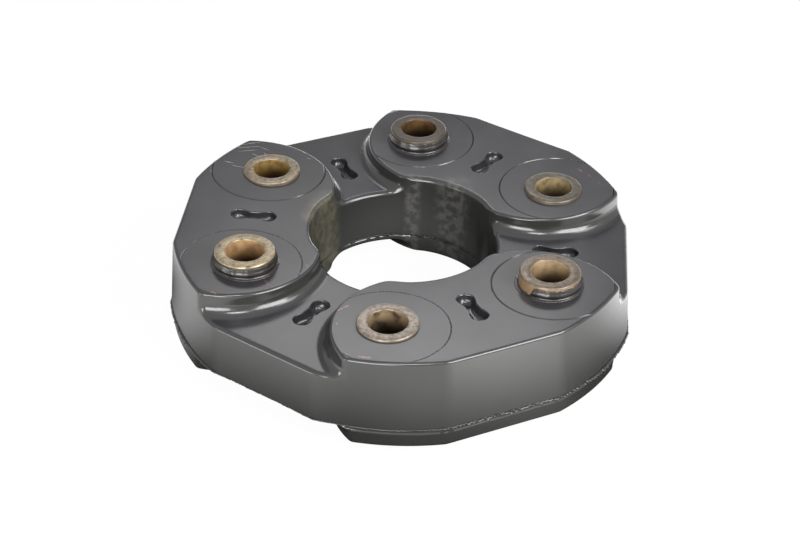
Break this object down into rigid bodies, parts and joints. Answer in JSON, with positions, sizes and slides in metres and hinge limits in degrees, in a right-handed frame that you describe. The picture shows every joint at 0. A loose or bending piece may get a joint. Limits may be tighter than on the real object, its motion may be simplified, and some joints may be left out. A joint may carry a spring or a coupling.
{
  "type": "driveshaft flex disc",
  "caption": "Rubber flexible coupling disc with cord loops inside, bolted between two driveshaft flanges through steel sleeves",
  "frame": {"origin": "centre of the disc on its axis, half way between the lowest and the highest sleeve ends", "axes": "+Z is the disc's axis and points out of the face that shows in the picture; -Y points at sleeve 1, which is nearest the viewer there"},
  "size_m": [0.1478, 0.1528, 0.0384],
  "materials": {
    "moulded_rubber": "moulded rubber, dark grey, satin",
    "plated_steel": "turned steel, yellowish plating with a speckled bonding coat",
    "polyester_cord": "wound polyester cord, dipped in bonding latex",
    "collar_steel": "pressed steel washer"
  },
  "bodies": {
    "root": {"rubber_body": "moulded_rubber", "bolt_sleeve_1": "plated_steel", "bolt_sleeve_2": "plated_steel", "bolt_sleeve_3": "plated_steel", "bolt_sleeve_4": "plated_steel", "bolt_sleeve_5": "plated_steel", "bolt_sleeve_6": "plated_steel", "cord_loop_centre_1": "polyester_cord", "cord_loop_centre_2": "polyester_cord", "cord_loop_centre_3": "polyester_cord", "cord_loop_upper_1": "polyester_cord", "cord_loop_upper_2": "polyester_cord", "cord_loop_upper_3": "polyester_cord", "cord_loop_lower_1": "polyester_cord", "cord_loop_lower_2": "polyester_cord", "cord_loop_lower_3": "polyester_cord", "end_collar_upper_1": "collar_steel", "end_collar_upper_2": "collar_steel", "end_collar_upper_3": "collar_steel", "end_collar_upper_4": "collar_steel", "end_collar_upper_5": "collar_steel", "end_collar_upper_6": "collar_steel", "end_collar_lower_1": "collar_steel", "end_collar_lower_2": "collar_steel", "end_collar_lower_3": "collar_steel", "end_collar_lower_4": "collar_steel", "end_collar_lower_5": "collar_steel", "end_collar_lower_6": "collar_steel"}
  },
  "joints": []
}
